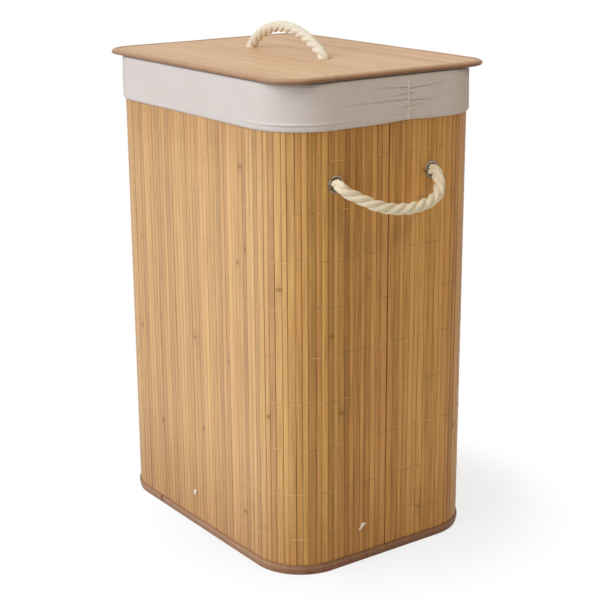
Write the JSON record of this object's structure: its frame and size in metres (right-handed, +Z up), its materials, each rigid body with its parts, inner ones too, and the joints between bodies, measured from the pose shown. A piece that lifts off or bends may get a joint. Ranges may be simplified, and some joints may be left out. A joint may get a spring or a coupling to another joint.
{
  "type": "laundry hamper",
  "caption": "Tall rounded-rectangle laundry hamper of upright bamboo slats with a lift-out cloth liner, rope side handles and a loose slatted lid with a rope arch.",
  "frame": {"origin": "on the floor under the middle of the basket", "axes": "+Z up, X across the wide faces, Y through the depth with the wide front face towards -Y; the handle faces are +X and -X"},
  "size_m": [0.4876, 0.308, 0.6409],
  "materials": {
    "bamboo": "split bamboo slats, lightly varnished, satin",
    "lid_bamboo": "pale split bamboo slats, satin",
    "backing_cloth": "plain woven brown cloth, matte",
    "brown_binding": "woven brown cotton tape, matte",
    "liner_cloth": "off-white linen-like weave, matte",
    "cotton_rope": "cream three-strand twisted cotton, matte",
    "white_thread": "white cotton thread, matte",
    "steel_wire": "plain drawn steel wire",
    "eyelet_metal": "pressed metal, dull nickel",
    "board": "plain fibre board"
  },
  "bodies": {
    "basket": {"front_left_corner_slats": "bamboo", "front_right_corner_slats": "bamboo", "back_left_corner_slats": "bamboo", "back_right_corner_slats": "bamboo", "front_slats": "bamboo", "back_slats": "bamboo", "left_slats": "bamboo", "right_slats": "bamboo", "curtain_backing": "backing_cloth", "bottom_binding": "brown_binding", "rim_binding": "brown_binding", "rim_hoop": "steel_wire", "base_hoop": "steel_wire", "base_board": "board", "base_ties": "white_thread", "right_eyelets": "eyelet_metal", "left_eyelets": "eyelet_metal", "right_eyelet_washers": "eyelet_metal", "left_eyelet_washers": "eyelet_metal", "right_rope_knots": "cotton_rope", "left_rope_knots": "cotton_rope"},
    "liner": {"liner_bag_floor": "liner_cloth", "liner_bag_walls": "liner_cloth", "liner_cuff": "liner_cloth"},
    "lid": {"lid_binding": "brown_binding", "lid_lining": "backing_cloth", "lid_board": "board", "lid_slats": "lid_bamboo", "lid_rope_knots": "cotton_rope"},
    "lid_handle": {"lid_handle_rope": "cotton_rope"},
    "right_handle": {"right_handle_rope": "cotton_rope"},
    "left_handle": {"left_handle_rope": "cotton_rope"}
  },
  "joints": [
    {"name": "liner_lift", "type": "slide", "parent": "basket", "child": "liner", "axis": [0, 0, 1], "range_m": [0, 0.56]},
    {"name": "lid_lift", "type": "slide", "parent": "liner", "child": "lid", "axis": [0, 0, 1], "range_m": [0, 0.35]},
    {"name": "lid_handle_swing", "type": "hinge", "parent": "lid", "child": "lid_handle", "pos_m": [-0.015, 0.005, 0.6065], "axis": [1, 0, 0], "range_deg": [-80, 80], "stiffness_Nm_per_rad": 0.12},
    {"name": "right_handle_swing", "type": "hinge", "parent": "basket", "child": "right_handle", "pos_m": [0.20845, -0.01, 0.478], "axis": [0, -1, 0], "range_deg": [-33, 138], "stiffness_Nm_per_rad": 0.12},
    {"name": "left_handle_swing", "type": "hinge", "parent": "basket", "child": "left_handle", "pos_m": [-0.20845, -0.01, 0.478], "axis": [0, 1, 0], "range_deg": [-33, 138], "stiffness_Nm_per_rad": 0.12}
  ]
}
